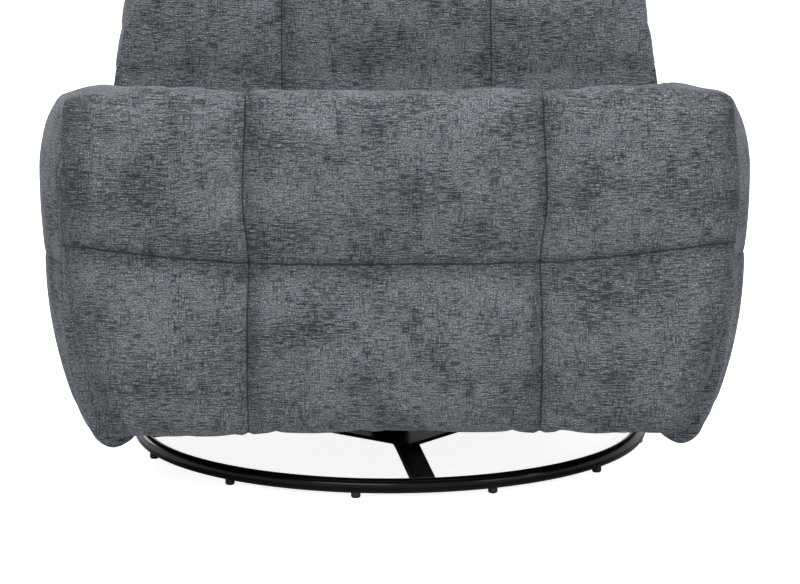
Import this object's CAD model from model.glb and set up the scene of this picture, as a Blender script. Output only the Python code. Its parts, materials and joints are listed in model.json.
# %% [markdown]
# # A swivel recliner in mottled chenille
# The chair is a padded box on a black steel ring. Its front panel is a footrest that swings
# out and up, and its back leans on a hinge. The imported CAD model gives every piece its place.
# Here the hard pieces get their finishes, and the soft ones are made again as padded fabric.

# %% Load the frame
import json
import math

import bpy
import numpy as np
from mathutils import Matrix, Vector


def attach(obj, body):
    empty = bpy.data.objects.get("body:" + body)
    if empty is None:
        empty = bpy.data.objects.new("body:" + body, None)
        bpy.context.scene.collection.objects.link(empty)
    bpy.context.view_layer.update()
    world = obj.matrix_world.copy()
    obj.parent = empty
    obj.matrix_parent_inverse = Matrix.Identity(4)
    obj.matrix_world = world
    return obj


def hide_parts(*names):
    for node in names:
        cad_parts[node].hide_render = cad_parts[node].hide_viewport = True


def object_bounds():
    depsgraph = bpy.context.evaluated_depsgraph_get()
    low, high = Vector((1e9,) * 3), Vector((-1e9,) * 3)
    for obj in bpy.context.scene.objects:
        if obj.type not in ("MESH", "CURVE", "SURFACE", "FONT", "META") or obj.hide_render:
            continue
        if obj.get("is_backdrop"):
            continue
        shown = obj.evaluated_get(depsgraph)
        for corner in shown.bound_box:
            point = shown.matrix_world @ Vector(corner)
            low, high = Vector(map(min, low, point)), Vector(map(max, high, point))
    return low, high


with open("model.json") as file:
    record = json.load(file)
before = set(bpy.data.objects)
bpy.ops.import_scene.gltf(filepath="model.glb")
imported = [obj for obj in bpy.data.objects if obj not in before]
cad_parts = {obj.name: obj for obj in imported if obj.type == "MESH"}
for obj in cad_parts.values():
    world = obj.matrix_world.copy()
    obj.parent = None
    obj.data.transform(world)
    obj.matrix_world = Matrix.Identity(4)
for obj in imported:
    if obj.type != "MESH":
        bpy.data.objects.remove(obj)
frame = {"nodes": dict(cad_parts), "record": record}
cad_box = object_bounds()
nodes = frame["nodes"]

# %% [markdown]
# ## The camera
# The photograph is a straight front view from a little above the seat. The ring of the base is a
# known circle, so its ellipse in the picture gives the distance, the height and the tilt.
# A long lens far away keeps the sides parallel, as they are in the photograph.

# %% Camera
PICTURE_WIDTH = 800
FOCAL_PIXELS = 3147.0
CAMERA_DISTANCE = 4.143
CAMERA_HEIGHT = 1.0007
CAMERA_ASIDE = 0.0132
CAMERA_TILT = math.radians(10.979)
CAMERA_YAW = math.radians(1.794)

bpy.ops.object.select_all(action="DESELECT")
bpy.ops.object.camera_add(
    location=(
        CAMERA_ASIDE * math.cos(CAMERA_YAW) - CAMERA_DISTANCE * math.sin(CAMERA_YAW),
        -CAMERA_ASIDE * math.sin(CAMERA_YAW) - CAMERA_DISTANCE * math.cos(CAMERA_YAW),
        CAMERA_HEIGHT,
    ),
    rotation=(math.radians(90) - CAMERA_TILT, 0, -CAMERA_YAW),
)
camera = bpy.context.object
camera.data.sensor_fit = "HORIZONTAL"
camera.data.sensor_width = 36
camera.data.lens = 36 * FOCAL_PIXELS / PICTURE_WIDTH
bpy.context.scene.camera = camera
bpy.context.scene.view_settings.view_transform = "Standard"
print("camera lens", round(camera.data.lens, 1), "mm")

# %% [markdown]
# ## Light, floor and background
# The photograph is a cut-out on white, lit softly from above and in front. Large lamps give soft
# edges to the shadows. The world is white to the camera and to gloss, and a plain grey to the rest,
# so the white comes from the background's own colour and not from more light on the chair.

# %% Lamps
def soft_lamp(name, place, aim, size, power):
    """A square lamp of that size in metres, turned from its place to the point it lights."""
    bpy.ops.object.select_all(action="DESELECT")
    bpy.ops.object.light_add(type="AREA", location=place)
    lamp = bpy.context.object
    lamp.name = name
    lamp.data.size = size
    lamp.data.energy = power
    away = [a - p for a, p in zip(aim, place)]
    flat = math.hypot(away[0], away[1])
    lamp.rotation_euler = (math.atan2(flat, -away[2]), 0, math.atan2(-away[0], away[1]))
    return lamp


soft_lamp("lamp_front", (-1.2, -3.6, 3.2), (0, 0, 0.4), 2.6, 148)
soft_lamp("lamp_right", (3.0, -2.2, 2.0), (0, 0, 0.4), 2.0, 70)
soft_lamp("lamp_top", (0, -0.45, 3.4), (0, 0, 0.4), 2.6, 92)
soft_lamp("lamp_rear", (-1.6, 3.6, 2.4), (0, 0, 0.6), 2.4, 90)
print("lamps: 4")

# %% World
world = bpy.data.worlds.new("studio")
world.use_nodes = True
bpy.context.scene.world = world
wires = world.node_tree.links
pots = world.node_tree.nodes
pots.clear()
rays = pots.new("ShaderNodeLightPath")
gloss_or_camera = pots.new("ShaderNodeMath")
gloss_or_camera.operation = "MAXIMUM"
seen_through = pots.new("ShaderNodeMath")
seen_through.operation = "MAXIMUM"
room = pots.new("ShaderNodeBackground")
room.inputs["Color"].default_value = (0.9, 0.95, 1.0, 1)
room.inputs["Strength"].default_value = 0.38
white = pots.new("ShaderNodeBackground")
white.inputs["Color"].default_value = (1, 1, 1, 1)
white.inputs["Strength"].default_value = 1.0
choose = pots.new("ShaderNodeMixShader")
sky = pots.new("ShaderNodeOutputWorld")
wires.new(rays.outputs["Is Camera Ray"], gloss_or_camera.inputs[0])
wires.new(rays.outputs["Is Glossy Ray"], gloss_or_camera.inputs[1])
wires.new(gloss_or_camera.outputs[0], seen_through.inputs[0])
wires.new(rays.outputs["Is Transmission Ray"], seen_through.inputs[1])
wires.new(seen_through.outputs[0], choose.inputs["Fac"])
wires.new(room.outputs[0], choose.inputs[1])
wires.new(white.outputs[0], choose.inputs[2])
wires.new(choose.outputs[0], sky.inputs["Surface"])
print("world: white to the camera, grey to the chair")

# %% Floor
bpy.ops.object.select_all(action="DESELECT")
bpy.ops.mesh.primitive_plane_add(size=24, location=(0, 0, 0))
floor = bpy.context.object
floor.name = "floor"
paper = bpy.data.materials.new("white_paper")
paper.use_nodes = True
pots = paper.node_tree.nodes
wires = paper.node_tree.links
pots.clear()
rays = pots.new("ShaderNodeLightPath")
dull = pots.new("ShaderNodeBsdfDiffuse")
dull.inputs["Color"].default_value = (0.8, 0.8, 0.8, 1)
glow = pots.new("ShaderNodeEmission")
glow.inputs["Color"].default_value = (1, 1, 1, 1)
glow.inputs["Strength"].default_value = 0.90
both = pots.new("ShaderNodeAddShader")
choose = pots.new("ShaderNodeMixShader")
out = pots.new("ShaderNodeOutputMaterial")
wires.new(dull.outputs[0], both.inputs[0])
wires.new(glow.outputs[0], both.inputs[1])
wires.new(rays.outputs["Is Camera Ray"], choose.inputs["Fac"])
wires.new(dull.outputs[0], choose.inputs[1])
wires.new(both.outputs[0], choose.inputs[2])
wires.new(choose.outputs[0], out.inputs["Surface"])
floor.data.materials.append(paper)
floor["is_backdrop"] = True
print("floor: 24 m of white paper")

# %% [markdown]
# ## Helpers for materials
# Every finish is a small tree of nodes that ends in one Principled shader. These helpers add a node
# and set its sockets, so that each finish below reads as a short list of what the surface shows.

# %% Node helpers
def new_finish(name):
    """An empty material with its shader and output, ready for nodes."""
    made = bpy.data.materials.new(name)
    made.use_nodes = True
    tree = made.node_tree
    tree.nodes.clear()
    shader = tree.nodes.new("ShaderNodeBsdfPrincipled")
    out = tree.nodes.new("ShaderNodeOutputMaterial")
    tree.links.new(shader.outputs["BSDF"], out.inputs["Surface"])
    return made, tree, shader


def put(tree, kind, **sockets):
    """A node of that kind with its sockets set: a value, or another node's output."""
    pot = tree.nodes.new(kind)
    for name, value in sockets.items():
        socket = pot.inputs[int(name[1:])] if name[0] == "_" else pot.inputs[name.replace("_", " ")]
        if isinstance(value, bpy.types.NodeSocket):
            tree.links.new(value, socket)
        else:
            socket.default_value = value
    return pot


def sum_of(tree, operation, a, b):
    """Two values joined by a Math node."""
    pot = tree.nodes.new("ShaderNodeMath")
    pot.operation = operation
    for socket, value in zip(pot.inputs, (a, b)):
        if isinstance(value, bpy.types.NodeSocket):
            tree.links.new(value, socket)
        else:
            socket.default_value = value
    return pot.outputs[0]


def ramp(tree, value, stops):
    """A colour ramp through stops of (place, colour)."""
    pot = tree.nodes.new("ShaderNodeValToRGB")
    tree.links.new(value, pot.inputs["Fac"])
    band = pot.color_ramp.elements
    while len(band) < len(stops):
        band.new(0.5)
    for stop, (place, colour) in zip(band, stops):
        stop.position = place
        stop.color = (*colour, 1)
    return pot.outputs["Color"]


def spread(tree, value, start, end, at_start, at_end):
    """A value that goes from at_start to at_end while the given one goes from start to end."""
    pot = put(tree, "ShaderNodeMapRange", _0=value, _1=start, _2=end, _3=at_start, _4=at_end)
    return pot.outputs["Result"]


def streaks(tree, coords, scale, detail, rough=0.5):
    """Noise stretched by a mapping, so that its spots become threads."""
    turned = put(tree, "ShaderNodeMapping", Vector=coords, Scale=scale)
    noise = put(
        tree, "ShaderNodeTexNoise", Vector=turned.outputs[0], Scale=1.0, Detail=detail, Roughness=rough
    )
    return noise.outputs["Fac"]


print("node helpers ready")

# %% [markdown]
# ## Chenille
# The cover is a blue-grey chenille. Its threads run across, each a fuzzy caterpillar about two
# millimetres thick, with upright threads between them. The pile leans this way and that, and where
# it is bruised the dark ground shows between the threads as short dashes, some along and some up.
# Stretched noises place the threads, and broad ones say where the dashes gather. All are read from a
# UV map in metres that each cushion carries, so the cloth follows every face. A picture of cloth
# would be quicker, but it would repeat, and it would carry its own light.

# %% Chenille threads
chenille, tree, shader = new_finish("chenille")
cloth_uv = put(tree, "ShaderNodeUVMap")
cloth_uv.uv_map = "weave"
uv = cloth_uv.outputs["UV"]
threads = streaks(tree, uv, (66, 640, 1), 1.0, 0.6)
uprights = streaks(tree, uv, (560, 64, 1), 1.0)
fuzz = streaks(tree, uv, (280, 760, 1), 0.0)
specks = streaks(tree, uv, (680, 720, 1), 0.0)
patches = streaks(tree, uv, (11, 16, 1), 4.0, 0.6)
strokes = streaks(tree, uv, (38, 11, 1), 3.0, 0.6)


def weighed(value, weight):
    """A noise about zero, times its weight."""
    return sum_of(tree, "MULTIPLY", sum_of(tree, "SUBTRACT", value, 0.5), weight)


DASH_DEPTH = 0.50
MARK_DEPTH = 0.34
PILE_TONE = 0.585
dash_place = sum_of(tree, "ADD", threads, weighed(patches, 0.66))
dashes = spread(tree, dash_place, 0.50, 0.26, 0.0, DASH_DEPTH)
mark_place = sum_of(tree, "ADD", uprights, weighed(strokes, 0.75))
marks = spread(tree, mark_place, 0.45, 0.24, 0.0, MARK_DEPTH)
tone = sum_of(tree, "ADD", weighed(fuzz, 0.72), weighed(specks, 1.05))
for noise, weight in ((threads, 0.56), (patches, 0.30)):
    tone = sum_of(tree, "ADD", tone, weighed(noise, weight))
for darker in (dashes, marks):
    tone = sum_of(tree, "SUBTRACT", tone, darker)
tone = sum_of(tree, "ADD", tone, PILE_TONE)
print("chenille: threads 2 mm, bruises about 60 mm")

# %% [markdown]
# A sewn seam is a crisp dark line, thinner than the net of a cushion. So each cushion carries its
# distance from the seam, which changes evenly from point to point, and the finish draws the line
# where that distance is nothing. The pile beside a seam is pressed flat, which darkens it, mostly on
# the inner side. One is added to the distance, so a piece without a seam shows none. The sides of the
# footrest are rubbed darker too, and a mark of its own says how much.

# %% Chenille seams and pile
LINE_HALF, LINE_FADE = 0.0006, 0.0013
INNER_REACH, INNER_SHADE = 0.024, 0.15
OUTER_REACH = 0.012
RUBBED_SHADE = 0.20
seam_lines = 0.0
seam_shade = 0.0
for seam_name, outer_shade in (("seam_upright", 0.04), ("seam_level", 0.12)):
    seam_mark = put(tree, "ShaderNodeAttribute")
    seam_mark.attribute_name = seam_name
    signed = sum_of(tree, "SUBTRACT", seam_mark.outputs["Fac"], 1.0)
    off_line = sum_of(tree, "ABSOLUTE", signed, 0.0)
    drawn = spread(tree, off_line, LINE_HALF, LINE_FADE, 1.0, 0.0)
    seam_lines = sum_of(tree, "MAXIMUM", seam_lines, drawn)
    inner = sum_of(tree, "LESS_THAN", signed, 0.0)
    outer = sum_of(tree, "SUBTRACT", 1.0, inner)
    for side, reach, shade in ((inner, INNER_REACH, INNER_SHADE), (outer, OUTER_REACH, outer_shade)):
        pressed = spread(tree, off_line, 0.0, reach, shade, 0.0)
        seam_shade = sum_of(tree, "ADD", seam_shade, sum_of(tree, "MULTIPLY", pressed, side))
worn_line = spread(tree, patches, 0.35, 0.62, 0.97, 0.76)
seam_lines = sum_of(tree, "MULTIPLY", seam_lines, worn_line)
rubbed = put(tree, "ShaderNodeAttribute")
rubbed.attribute_name = "rubbed_edge"
tone = sum_of(tree, "SUBTRACT", tone, seam_shade)
tone = sum_of(tree, "SUBTRACT", tone, sum_of(tree, "MULTIPLY", rubbed.outputs["Fac"], RUBBED_SHADE))
pile_colour = ramp(
    tree,
    tone,
    [
        (0.03, (0.016, 0.018, 0.021)),
        (0.36, (0.047, 0.052, 0.058)),
        (0.58, (0.082, 0.090, 0.100)),
        (0.98, (0.202, 0.216, 0.234)),
    ],
)
sewn = put(tree, "ShaderNodeMix")
sewn.data_type = "RGBA"
tree.links.new(seam_lines, sewn.inputs["Factor"])
tree.links.new(pile_colour, sewn.inputs[6])
sewn.inputs[7].default_value = (0.010, 0.011, 0.014, 1)
tree.links.new(sewn.outputs[2], shader.inputs["Base Color"])
height = sum_of(tree, "ADD", fuzz, sum_of(tree, "MULTIPLY", threads, 0.7))
height = sum_of(tree, "ADD", height, sum_of(tree, "MULTIPLY", specks, 0.6))
pile = put(tree, "ShaderNodeBump", Strength=0.8, Distance=0.0016, Height=height)
tree.links.new(pile.outputs["Normal"], shader.inputs["Normal"])
shader.inputs["Roughness"].default_value = 0.92
shader.inputs["Specular IOR Level"].default_value = 0.25
shader.inputs["Sheen Weight"].default_value = 0.10
shader.inputs["Sheen Roughness"].default_value = 0.35
shader.inputs["Sheen Tint"].default_value = (0.75, 0.8, 0.88, 1)
print("seams drawn from two distances")

# %% [markdown]
# ## Hard finishes
# The ring base is black gloss enamel. The mechanism is satin black steel with bright zinc pins. The
# hidden frame is softwood and plywood, the bands under the cushions are woven elastic, and the
# release handle is grained black plastic. The boards that can be glimpsed under a raised footrest are
# lined with black cloth. Each pattern reads Object coordinates, in metres.

# %% Metal finishes
def metal_finish(name, colour, worn, metallic, rough_low, rough_high, shine, bump):
    """A painted or bright metal: faint drifts of tone, uneven gloss and a little orange peel."""
    made, tree, shader = new_finish(name)
    spot = put(tree, "ShaderNodeTexCoord").outputs["Object"]
    drift = put(tree, "ShaderNodeTexNoise", Vector=spot, Scale=18.0, Detail=4.0, Roughness=0.6)
    grain = put(tree, "ShaderNodeTexNoise", Vector=spot, Scale=900.0, Detail=2.0)
    tree.links.new(
        ramp(tree, drift.outputs["Fac"], [(0.35, colour), (0.75, worn)]), shader.inputs["Base Color"]
    )
    gloss = spread(tree, drift.outputs["Fac"], 0.3, 0.7, rough_low, rough_high)
    tree.links.new(gloss, shader.inputs["Roughness"])
    peel = put(tree, "ShaderNodeBump", Strength=bump, Distance=0.0003, Height=grain.outputs["Fac"])
    tree.links.new(peel.outputs["Normal"], shader.inputs["Normal"])
    shader.inputs["Metallic"].default_value = metallic
    shader.inputs["Specular IOR Level"].default_value = shine
    return made


def grey(tone, blue=0.0):
    """A neutral colour, a little bluer by the second number."""
    return (tone, tone, tone + blue)


enamel = metal_finish("black_enamel", grey(0.003), grey(0.005), 0.0, 0.14, 0.22, 0.14, 0.05)
satin = metal_finish(
    "mechanism_steel", grey(0.014, 0.001), grey(0.024, 0.002), 0.3, 0.42, 0.58, 0.4, 0.12
)
zinc = metal_finish("zinc_steel", (0.52, 0.53, 0.55), (0.66, 0.67, 0.68), 1.0, 0.26, 0.42, 0.5, 0.08)
print("metals: enamel, satin, zinc")


# %% Plastic, rubber and nylon
def moulded_finish(name, colour, lighter, rough, bump, grain_scale):
    """A moulded surface with a fine even grain."""
    made, tree, shader = new_finish(name)
    spot = put(tree, "ShaderNodeTexCoord").outputs["Object"]
    grain = put(tree, "ShaderNodeTexNoise", Vector=spot, Scale=grain_scale, Detail=3.0)
    drift = put(tree, "ShaderNodeTexNoise", Vector=spot, Scale=40.0, Detail=2.0)
    tree.links.new(
        ramp(tree, drift.outputs["Fac"], [(0.3, colour), (0.7, lighter)]), shader.inputs["Base Color"]
    )
    dents = put(tree, "ShaderNodeBump", Strength=bump, Distance=0.0004, Height=grain.outputs["Fac"])
    tree.links.new(dents.outputs["Normal"], shader.inputs["Normal"])
    shader.inputs["Roughness"].default_value = rough
    return made


handle_black = moulded_finish(
    "handle_plastic", grey(0.011, 0.001), grey(0.018, 0.001), 0.46, 0.35, 1400.0
)
glide_black = moulded_finish("glide_rubber", grey(0.008), grey(0.014), 0.7, 0.3, 700.0)
lining_black = moulded_finish("frame_lining", grey(0.010, 0.001), grey(0.017, 0.001), 0.9, 0.5, 800.0)
nylon = moulded_finish("bearing_plastic", (0.62, 0.61, 0.56), (0.72, 0.71, 0.66), 0.4, 0.1, 500.0)
print("moulded finishes: 4")

# %% Wood and webbing
timber, tree, shader = new_finish("frame_wood")
spot = put(tree, "ShaderNodeTexCoord").outputs["Object"]
bent = put(tree, "ShaderNodeTexNoise", Vector=spot, Scale=3.0, Detail=2.0)
laid = put(tree, "ShaderNodeMapping", Vector=spot, Scale=(14, 6, 90))
grain = put(tree, "ShaderNodeTexNoise", Vector=laid.outputs[0], Scale=1.0, Detail=5.0, Roughness=0.65)
rings = sum_of(tree, "ADD", grain.outputs["Fac"], sum_of(tree, "MULTIPLY", bent.outputs["Fac"], 0.3))
wood_colour = ramp(
    tree, rings, [(0.45, (0.30, 0.17, 0.08)), (0.62, (0.50, 0.33, 0.18)), (0.85, (0.60, 0.43, 0.25))]
)
tree.links.new(wood_colour, shader.inputs["Base Color"])
ridges = put(tree, "ShaderNodeBump", Strength=0.25, Distance=0.0006, Height=grain.outputs["Fac"])
tree.links.new(ridges.outputs["Normal"], shader.inputs["Normal"])
shader.inputs["Roughness"].default_value = 0.62

band, tree, shader = new_finish("webbing")
spot = put(tree, "ShaderNodeTexCoord").outputs["Object"]
over = put(tree, "ShaderNodeTexWave", Vector=spot, Scale=90.0, Distortion=0.4)
over.bands_direction = "X"
under = put(tree, "ShaderNodeTexWave", Vector=spot, Scale=90.0, Distortion=0.4)
under.bands_direction = "Y"
weave = sum_of(tree, "MULTIPLY", over.outputs["Fac"], under.outputs["Fac"])
band_colour = ramp(tree, weave, [(0.1, grey(0.02)), (0.7, grey(0.07, 0.002))])
tree.links.new(band_colour, shader.inputs["Base Color"])
ribs = put(tree, "ShaderNodeBump", Strength=0.6, Distance=0.0008, Height=weave)
tree.links.new(ribs.outputs["Normal"], shader.inputs["Normal"])
shader.inputs["Roughness"].default_value = 0.85
print("timber and webbing ready")

# %% Give each hard node its finish
FINISHES = {
    "black_enamel": enamel,
    "mechanism_steel": satin,
    "zinc_steel": zinc,
    "glide_rubber": glide_black,
    "bearing_plastic": nylon,
    "handle_plastic": handle_black,
    "frame_wood": timber,
    "webbing": band,
    "chenille": chenille,
}
LINED = ("side_board_left", "side_board_right", "seat_rail_front", "seat_rail_rear")
for entry in frame["record"]["subparts"]:
    node = nodes[entry["node"]]
    finish = lining_black if entry["node"] in LINED else FINISHES[entry["material_slot"]]
    node.data.materials.clear()
    node.data.materials.append(finish)

# %% [markdown]
# ## How a cushion is made
# A padded piece starts from a copy of its solid, drawn in a little. A voxel remesh gives it an even
# net of faces. The seams and the side that rests on wood are held, and a cloth simulation with
# pressure inside swells what lies between. Then the stitched seams are pulled in, and a UV map in
# metres is laid over it for the weave.

# %% Cushion helpers
def coords_of(piece):
    """The mesh's points as an array."""
    flat = np.empty(len(piece.data.vertices) * 3, np.float32)
    piece.data.vertices.foreach_get("co", flat)
    return flat.reshape(-1, 3).astype(float)


def normals_of(piece):
    """The mesh's point normals as an array."""
    flat = np.empty(len(piece.data.vertices) * 3, np.float32)
    piece.data.vertices.foreach_get("normal", flat)
    return flat.reshape(-1, 3).astype(float)


def set_coords(piece, points):
    """Puts the points back into the mesh."""
    piece.data.vertices.foreach_set("co", points.astype(np.float32).ravel())
    piece.data.update()


def taper(value, none_at, full_at):
    """A share from 0 to 1, which grows evenly while the value goes from one place to the other."""
    return np.clip((value - none_at) / (full_at - none_at), 0, 1)


def only(piece):
    """Selects one piece alone and makes it the active one."""
    bpy.ops.object.select_all(action="DESELECT")
    piece.select_set(True)
    bpy.context.view_layer.objects.active = piece


def net_of(node, name, voxel, draw_in):
    """A copy of a node's solid as an even net of faces, drawn in along its normals."""
    piece = bpy.data.objects.new(name, nodes[node].data.copy())
    bpy.context.scene.collection.objects.link(piece)
    only(piece)
    bpy.ops.object.mode_set(mode="EDIT")
    bpy.ops.mesh.select_all(action="SELECT")
    bpy.ops.mesh.remove_doubles(threshold=0.00002)
    bpy.ops.object.mode_set(mode="OBJECT")
    piece.data.remesh_voxel_size = voxel
    bpy.ops.object.voxel_remesh()
    set_coords(piece, coords_of(piece) - draw_in * normals_of(piece))
    return piece


def smooth(piece, factor, repeat):
    """Relaxes the net a little, to round what the solid left sharp."""
    only(piece)
    bpy.ops.object.modifier_add(type="SMOOTH")
    piece.modifiers[-1].factor = factor
    piece.modifiers[-1].iterations = repeat
    bpy.ops.object.modifier_apply(modifier=piece.modifiers[-1].name)


SIM_STEPS = 20


def swell(piece, held, pressure, cap, slack, give=1.0):
    """Blows the piece up as cloth, with the held points pinned, and lets no point move beyond the cap.

    Give is the share kept of what moves inwards, as at the edges, which the cloth rounds off.
    """
    before = coords_of(piece)
    outward = normals_of(piece)
    pins = piece.vertex_groups.new(name="held")
    pins.add([int(i) for i in np.nonzero(held)[0]], 1.0, "REPLACE")
    cloth = piece.modifiers.new("padding", "CLOTH")
    cloth.settings.quality = 4
    cloth.settings.mass = 0.3
    cloth.settings.tension_stiffness = 18
    cloth.settings.compression_stiffness = 14
    cloth.settings.shear_stiffness = 6
    cloth.settings.bending_stiffness = 0.6
    cloth.settings.air_damping = 3
    cloth.settings.use_pressure = True
    cloth.settings.uniform_pressure_force = pressure
    cloth.settings.shrink_min = -slack
    cloth.settings.vertex_group_mass = "held"
    cloth.settings.effector_weights.gravity = 0
    cloth.point_cache.frame_start = 1
    cloth.point_cache.frame_end = SIM_STEPS
    for step in range(1, SIM_STEPS + 1):
        bpy.context.scene.frame_set(step)
    only(piece)
    bpy.ops.object.modifier_apply(modifier="padding")
    bpy.context.scene.frame_set(1)
    moved = coords_of(piece) - before
    inward = np.minimum(0, np.sum(moved * outward, axis=1, keepdims=True))
    moved = moved - (1 - give) * inward * outward
    far = np.linalg.norm(moved, axis=1, keepdims=True)
    set_coords(piece, before + moved * np.minimum(1, cap / np.maximum(far, 1e-9)))
    print(piece.name, "swelled by", round(float(np.percentile(far, 95)) * 1000, 1), "mm")


def finer(piece):
    """One applied subdivision, for smooth seams and edges."""
    only(piece)
    bpy.ops.object.modifier_add(type="SUBSURF")
    piece.modifiers[-1].levels = 1
    piece.modifiers[-1].render_levels = 1
    bpy.ops.object.modifier_apply(modifier=piece.modifiers[-1].name)
    bpy.ops.object.shade_smooth()


def fold(piece, distance, depth, width):
    """Pulls the cloth in along a line."""
    pull = np.exp(-((distance / width) ** 2)) * depth
    set_coords(piece, coords_of(piece) - pull[:, None] * normals_of(piece))


def mark(piece, name, values):
    """Keeps a number at each point, which the finish reads by its name."""
    layer = piece.data.attributes.new(name, "FLOAT", "POINT")
    layer.data.foreach_set("value", values.astype(np.float32))


def stitch(piece, name, distance, depth, width):
    """Folds the cloth in along a seam, and marks the signed distance from it, plus one."""
    fold(piece, distance, depth, width)
    mark(piece, name, 1 + distance)


def apart(distance, off):
    """The same distance, made large wherever the seam doesn't run."""
    return distance + np.where(distance < 0, -1.0, 1.0) * np.where(off, 0.05, 0.0)


def lay_weave(piece):
    """A UV map in metres: each face takes the two axes it faces least, so threads run level."""
    mesh = piece.data
    layer = mesh.uv_layers.new(name="weave")
    count = len(mesh.loops)
    corner = np.empty(count, np.int32)
    mesh.loops.foreach_get("vertex_index", corner)
    points = coords_of(piece)
    normal = np.empty(len(mesh.polygons) * 3, np.float32)
    mesh.polygons.foreach_get("normal", normal)
    normal = np.abs(normal.reshape(-1, 3))
    sizes = np.empty(len(mesh.polygons), np.int32)
    mesh.polygons.foreach_get("loop_total", sizes)
    face = np.repeat(np.arange(len(sizes)), sizes)
    facing = np.argmax(normal, axis=1)[face]
    place = points[corner]
    across = np.where(facing == 0, place[:, 1], place[:, 0]) + 1.7 * facing
    along = np.where(facing == 2, place[:, 1], place[:, 2])
    layer.data.foreach_set("uv", np.stack([across, along], 1).astype(np.float32).ravel())


def fit(piece, finish, body):
    """Gives the piece its finish, the body it rides on and its slot in the record."""
    piece.data.materials.clear()
    piece.data.materials.append(finish)
    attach(piece, body)
    print(piece.name, "has", len(piece.data.polygons), "faces")


def dress(piece, body, node):
    """Makes the piece a cushion in chenille that stands for a node."""
    lay_weave(piece)
    fit(piece, chenille, body)
    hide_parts(node)


print("cushion helpers ready")

# %% [markdown]
# ## Footrest pad
# The front panel is one wide pad, sewn into three columns and two rows. The long seam hangs a little
# lower in the middle than at the ends. The upright seams stand a little to one side, bow outwards
# above the long seam and lean in to the crossing.

# %% Footrest pad
PAD_SEAM_X = 0.1775
PAD_SEAM_ASIDE = 0.0065
PAD_SEAM_BOW = 0.004
PAD_SEAM_Z = 0.315
PAD_SEAM_RISE = 0.022
PAD_EDGE_Z = 0.504
PAD_EDGE_RISE = 0.006
PAD_RUBBED = 0.045
PAD_END_X = 0.400
PAD_FRONT_Y = -0.395
PAD_HELD_Y = -0.385
PAD_RIM_DRAW = 0.012
PAD_MIDDLE_RISE = 0.006


def pad_seams(points):
    """Each point's distance from the upright seams, the level seam and the seam of the top edge."""
    x, z = points[:, 0], points[:, 2]
    middle = PAD_SEAM_Z + PAD_SEAM_RISE * taper(np.abs(x), PAD_SEAM_X, PAD_SEAM_X + 0.22)
    lean = 0.003 * np.exp(-(((z - middle) / 0.04) ** 2))
    bow = PAD_SEAM_BOW * np.exp(-(((z - middle - 0.09) / 0.06) ** 2))
    upright = np.abs(x + PAD_SEAM_ASIDE) - (PAD_SEAM_X - lean + bow)
    edge = z - (PAD_EDGE_Z + PAD_EDGE_RISE * taper(np.abs(x), PAD_SEAM_X, PAD_SEAM_X + 0.16))
    return upright, z - middle, edge


pad = net_of("footrest_pad", "footrest_cushion", 0.0055, 0.002)
smooth(pad, 0.5, 10)
points = coords_of(pad)
to_rear = taper(points[:, 1], -0.412, -0.376) ** 2
to_side = taper(np.abs(points[:, 0]), 0.25, 0.40) * np.sign(points[:, 0])
points[:, 0] -= PAD_RIM_DRAW * to_rear * to_side
points[:, 2] -= PAD_RIM_DRAW * to_rear * taper(points[:, 2], 0.40, 0.52)
points[:, 2] += PAD_RIM_DRAW * to_rear * taper(points[:, 2], 0.20, 0.10)
in_middle = taper(np.abs(points[:, 0]), PAD_SEAM_X + 0.02, PAD_SEAM_X - 0.03)
points[:, 2] += PAD_MIDDLE_RISE * in_middle * taper(points[:, 2], 0.44, 0.50)
points[:, 0] -= PAD_SEAM_ASIDE * taper(np.abs(points[:, 0]), 0.39, 0.19)
set_coords(pad, points)
upright, level, _ = pad_seams(points)
to_end = taper(np.abs(points[:, 0]), PAD_END_X, PAD_END_X - 0.03)
on_seam = (np.abs(upright) < 0.004) | ((np.abs(level) < 0.004) & (to_end > 0.5))
held = (points[:, 1] > PAD_HELD_Y) | ((points[:, 1] < PAD_FRONT_Y) & on_seam)
swell(pad, held, 4.0, 0.022, 0.02)
finer(pad)
points = coords_of(pad)
upright, level, edge = pad_seams(points)
to_end = taper(np.abs(points[:, 0]), PAD_END_X, PAD_END_X - 0.03)
behind = points[:, 1] > PAD_HELD_Y
stitch(pad, "seam_upright", apart(upright, behind), 0.003, 0.004)
stitch(pad, "seam_level", apart(level, behind), 0.003 * to_end, 0.004)
fold(pad, edge, np.where(behind, 0.0, 0.0025 * to_end), 0.006)
SLICE = 0.006
heights = np.arange(points[:, 2].min(), points[:, 2].max(), SLICE)
half_widths = [np.abs(points[np.abs(points[:, 2] - height) < SLICE, 0]).max() for height in heights]
inside = np.interp(points[:, 2], heights, half_widths) - np.abs(points[:, 0])
mark(pad, "rubbed_edge", taper(inside, PAD_RUBBED, 0.0))
dress(pad, "footrest", "footrest_pad")

# %% [markdown]
# The board under the pad is wrapped in the same cloth, which shows behind the pad from the side and
# below it when the footrest is up. The wrap is the board's own shape, a cloth's thickness larger.

# %% Footrest wrap
WRAP_THICKNESS = 0.0015
wrap = net_of("footrest_board", "footrest_wrap", 0.004, -WRAP_THICKNESS)
bpy.ops.object.shade_smooth_by_angle(angle=math.radians(50))
lay_weave(wrap)
fit(wrap, chenille, "footrest")

# %% [markdown]
# ## Seat cushion
# The seat is three crowned columns between the side shells. Only its front edge shows from the front.

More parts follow.
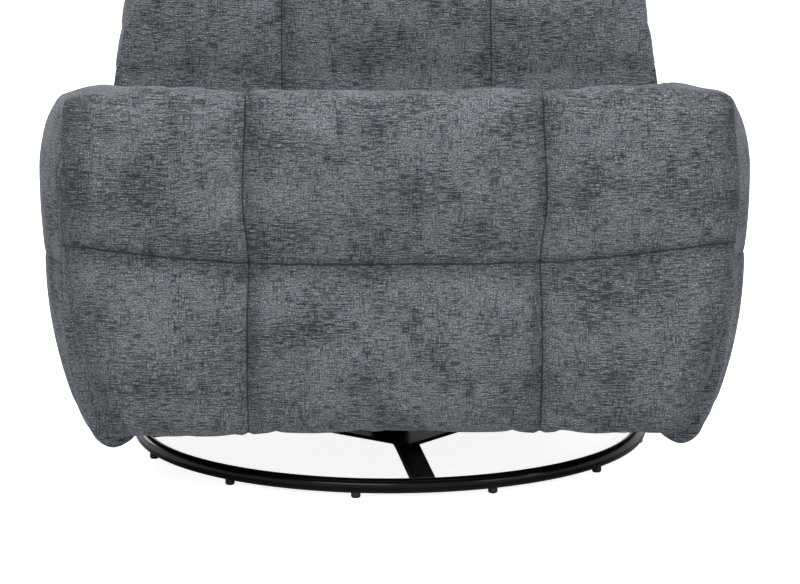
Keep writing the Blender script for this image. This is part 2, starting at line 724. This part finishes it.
# %% Seat cushion
SEAT_SEAM_X = 0.161
SEAT_SIDE_X = 0.300
SEAT_DECK_Z = 0.43
seat = net_of("seat_cushion", "seat_pad", 0.007, 0.003)
smooth(seat, 0.5, 4)
points = coords_of(seat)
upright = np.abs(points[:, 0]) - SEAT_SEAM_X
held = (normals_of(seat)[:, 2] < -0.6) | (np.abs(points[:, 0]) > SEAT_SIDE_X)
held |= (points[:, 2] > SEAT_DECK_Z) & (np.abs(upright) < 0.005)
swell(seat, held, 4.0, 0.014, 0.01)
finer(seat)
points = coords_of(seat)
upright = np.abs(points[:, 0]) - SEAT_SEAM_X
stitch(seat, "seam_upright", apart(upright, normals_of(seat)[:, 2] < -0.2), 0.003, 0.005)
dress(seat, "seat_body", "seat_cushion")

# %% [markdown]
# ## Side shells
# Each side is a tall padded shell with a level seam below its widest line. Its top is a low bolster
# with a full outer shoulder, and its lower edge rises a little towards the middle of the chair.

# %% Side shells
SHELL_SEAM_Z = 0.300
SHOULDER_LIFT = 0.006
LOBE_LIFT = 0.014
for name in ("left", "right"):
    shell = net_of("side_shell_" + name, "side_padding_" + name, 0.007, 0.001)
    smooth(shell, 0.5, 3)
    points = coords_of(shell)
    aside = np.abs(points[:, 0])
    shoulder = taper(points[:, 2], 0.44, 0.48) * taper(aside, 0.395, 0.425)
    points[:, 2] += SHOULDER_LIFT * shoulder * taper(points[:, 1], -0.1, -0.2)
    points[:, 2] += LOBE_LIFT * taper(aside, 0.350, 0.320) * taper(points[:, 2], 0.17, 0.09)
    set_coords(shell, points)
    held = (aside < 0.330) | (points[:, 1] > 0.120)
    cup = (np.abs(points[:, 1] + 0.060) < 0.085) & (np.abs(points[:, 2] - 0.385) < 0.065)
    held |= cup & (points[:, 0] < 0)
    swell(shell, held, 3.0, 0.005, 0.004, 0.25)
    finer(shell)
    points = coords_of(shell)
    level = apart(points[:, 2] - SHELL_SEAM_Z, np.abs(points[:, 0]) < 0.36)
    stitch(shell, "seam_level", level, 0.0018, 0.004)
    dress(shell, "seat_body", "side_shell_" + name)

# %% [markdown]
# ## Back cushion
# The back leans on its hinge. It has three columns and three rows, and its foot is a roll about the
# hinge line, so it turns without opening a gap.

# %% Back cushion
HINGE = (0.235, 0.400)
LEAN = math.radians(13)
BACK_SEAM_X = 0.144
BACK_SEAMS_T = (0.287, 0.482)


def back_place(points):
    """Each point's distance behind the hinge line and its height up the leaning back."""
    y, z = points[:, 1] - HINGE[0], points[:, 2] - HINGE[1]
    behind = y * math.cos(LEAN) - z * math.sin(LEAN)
    up = y * math.sin(LEAN) + z * math.cos(LEAN)
    return behind, up


def slide(piece, amount):
    """Moves points straight backwards out of the leaning back, to close the slit between its halves."""
    moved = coords_of(piece)
    moved[:, 1] += amount * math.cos(LEAN)
    moved[:, 2] -= amount * math.sin(LEAN)
    set_coords(piece, moved)


def back_seams(points):
    """How far each point lies from the upright seams and from the nearest level seam."""
    _, up = back_place(points)
    upright = np.abs(points[:, 0]) - BACK_SEAM_X
    level = np.abs(up - sum(BACK_SEAMS_T) / 2) - (BACK_SEAMS_T[1] - BACK_SEAMS_T[0]) / 2
    return upright, level


back = net_of("back_cushion", "back_pad", 0.008, 0.004)
smooth(back, 0.5, 5)
points = coords_of(back)
behind, up = back_place(points)
upright, level = back_seams(points)
near = np.minimum(np.abs(upright), np.abs(level))
held = (behind > -0.012) | ((behind < -0.03) & (near < 0.005)) | (up < 0.06)
swell(back, held, 4.0, 0.024, 0.02)
finer(back)
points = coords_of(back)
behind, _ = back_place(points)
upright, level = back_seams(points)
slide(back, 0.005 * taper(behind, -0.02, -0.005))
stitch(back, "seam_upright", apart(upright, behind > -0.02), 0.004, 0.005)
stitch(back, "seam_level", apart(level, behind > -0.02), 0.004, 0.005)
dress(back, "back", "back_cushion")

# %% [markdown]
# ## Outer back and rear panel
# The covers behind are thin padding pulled tight, so they aren't swelled. The front rim of the outer
# back slides forwards a little, to meet the cushion.

# %% Outer back
cover = net_of("back_outer", "back_cover", 0.008, 0.001)
smooth(cover, 0.5, 4)
finer(cover)
behind, _ = back_place(coords_of(cover))
slide(cover, -0.006 * taper(behind, 0.035, 0.015))
dress(cover, "back", "back_outer")

# %% Rear panel
skirt = net_of("rear_panel", "rear_cover", 0.006, 0.0005)
smooth(skirt, 0.5, 2)
finer(skirt)
dress(skirt, "seat_body", "rear_panel")

# %% [markdown]
# Between the rear panel, the seat and the foot of the back, a strip of black webbing hides the frame.
# It lies close under the roll of the back, on the same centre, so the back turns over it without a touch.

# %% Rear apron
APRON_RADIUS = 0.1025
APRON_HALF = 0.3190
APRON_FROM, APRON_TO = math.radians(126), math.radians(257)
APRON_THICKNESS = 0.0008
bpy.ops.object.select_all(action="DESELECT")
bpy.ops.mesh.primitive_cylinder_add(
    vertices=240,
    radius=APRON_RADIUS,
    depth=2 * APRON_HALF,
    end_fill_type="NOTHING",
    location=(0, *HINGE),
    rotation=(0, math.radians(90), 0),
)
apron = bpy.context.object
apron.name = "rear_apron"
bpy.ops.object.transform_apply(location=True, rotation=True, scale=True)
bpy.ops.object.mode_set(mode="EDIT")
bpy.ops.mesh.select_mode(type="FACE")
bpy.ops.mesh.select_all(action="DESELECT")
bpy.ops.object.mode_set(mode="OBJECT")
for face in apron.data.polygons:
    turn = math.atan2(face.center.y - HINGE[0], face.center.z - HINGE[1]) % (2 * math.pi)
    face.select = not APRON_FROM < turn < APRON_TO
bpy.ops.object.mode_set(mode="EDIT")
bpy.ops.mesh.delete(type="FACE")
bpy.ops.object.mode_set(mode="OBJECT")
bpy.ops.object.modifier_add(type="SOLIDIFY")
apron.modifiers[-1].thickness = APRON_THICKNESS
apron.modifiers[-1].offset = 1.0
bpy.ops.object.modifier_apply(modifier=apron.modifiers[-1].name)
bpy.ops.object.shade_smooth_by_angle(angle=math.radians(50))
fit(apron, band, "seat_body")

# %% [markdown]
# ## Sizes
# The dressed chair has to keep to the solids' box, so both boxes are written down.

# %% Write the sizes and finish
new_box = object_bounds()
for k, axis in enumerate("XYZ"):
    below, above = cad_box[0][k] - new_box[0][k], new_box[1][k] - cad_box[1][k]
    print(axis, "grows by", round(below * 1000, 1), "and", round(above * 1000, 1), "mm")
